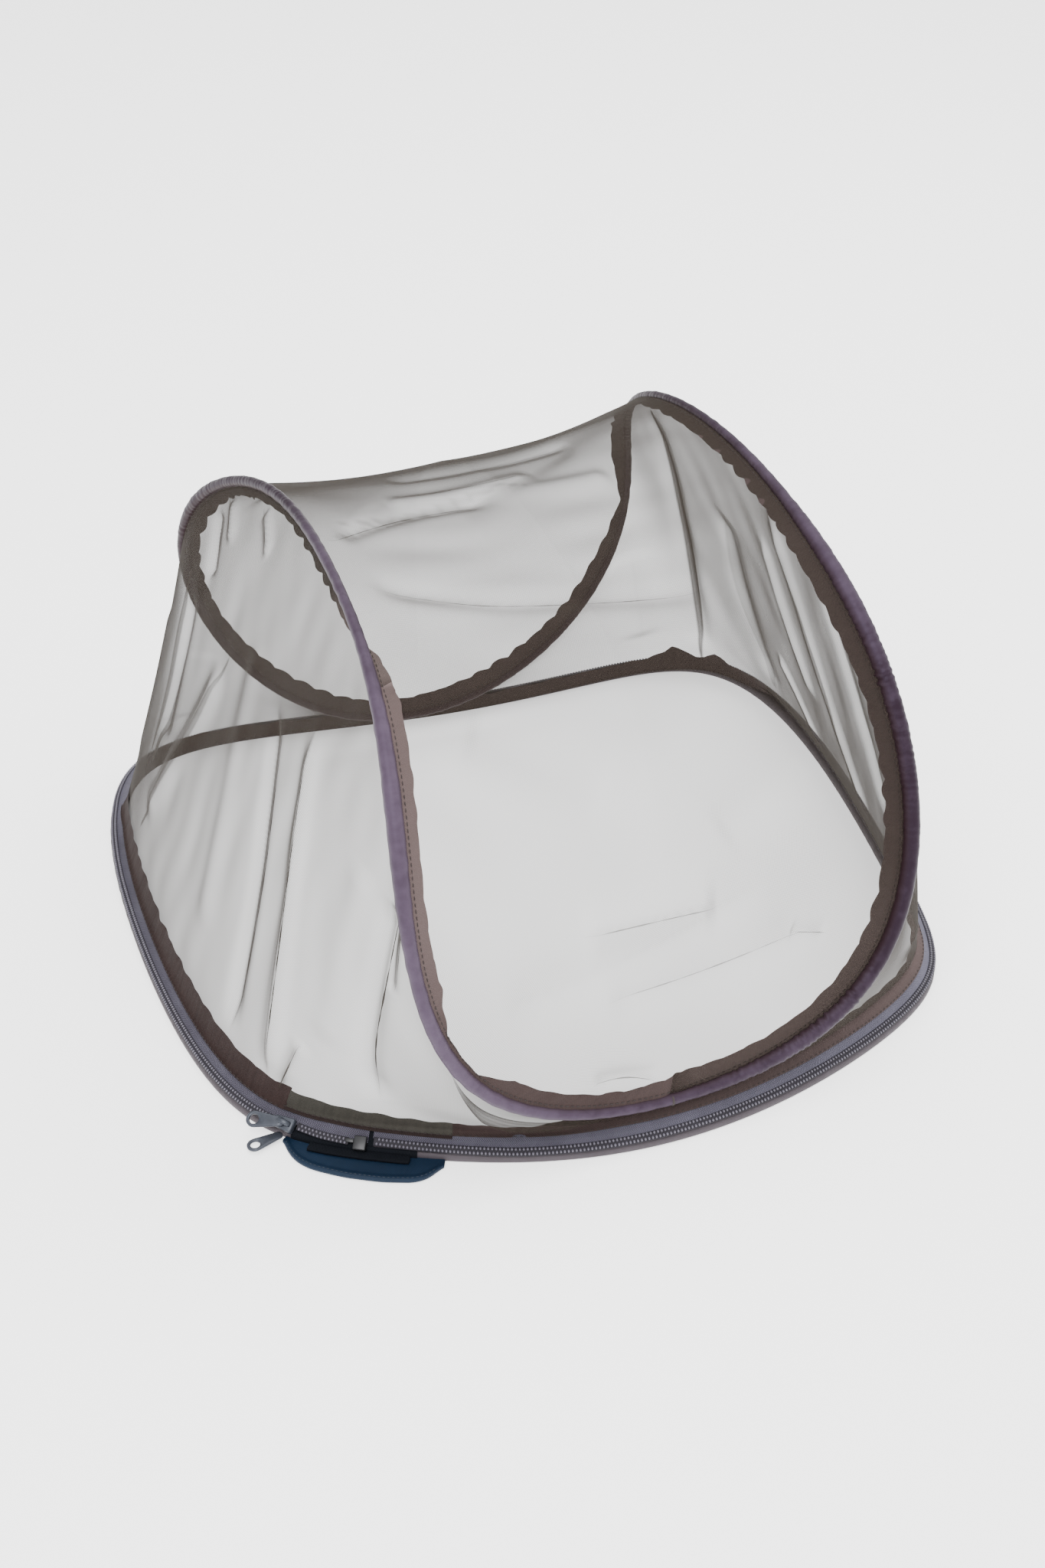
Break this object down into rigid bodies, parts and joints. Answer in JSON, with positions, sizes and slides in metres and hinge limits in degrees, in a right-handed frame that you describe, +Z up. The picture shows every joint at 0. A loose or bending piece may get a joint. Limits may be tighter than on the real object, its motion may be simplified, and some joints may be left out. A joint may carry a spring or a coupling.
{
  "type": "dome mosquito net with its sprung hoop and base ring",
  "caption": "Pop-up dome mosquito net: fine mesh panels on a saddle-shaped sprung hoop, with a zipped base ring, hem tape and a side handle tab.",
  "frame": {"origin": "on the ground under the middle of the net's box", "axes": "+X from the left peak to the right peak, +Y from the zip's open end to the rear, +Z up"},
  "size_m": [0.4377, 0.4334, 0.2548],
  "materials": {
    "hoop_satin": "lilac-brown satin sleeve with a soft sheen",
    "brown_tape": "dark brown sheer woven tape",
    "green_tape": "grey-green sheer woven tape",
    "net_mesh": "fine open taupe mesh",
    "base_band": "grey-brown woven band",
    "zip_cloth": "lilac-grey herringbone tape",
    "zip_coil": "moulded coil",
    "zip_metal": "grey satin paint",
    "handle_cloth": "navy smooth weave",
    "hook_tape": "black hook tape"
  },
  "bodies": {
    "root": {"hoop_sleeve": "hoop_satin", "hoop_tape": "brown_tape", "roof_net": "net_mesh", "left_net": "net_mesh", "right_net": "net_mesh", "hem_tape": "brown_tape", "hem_patch": "green_tape", "base_sleeve": "base_band", "zip_tape": "zip_cloth", "zip_chain": "zip_coil", "zip_open_row": "zip_coil", "zip_box": "zip_metal", "slider_body": "zip_metal", "pull_top": "zip_metal", "pull_under": "zip_metal", "handle_tab": "handle_cloth", "hook_strip": "hook_tape"}
  },
  "joints": []
}
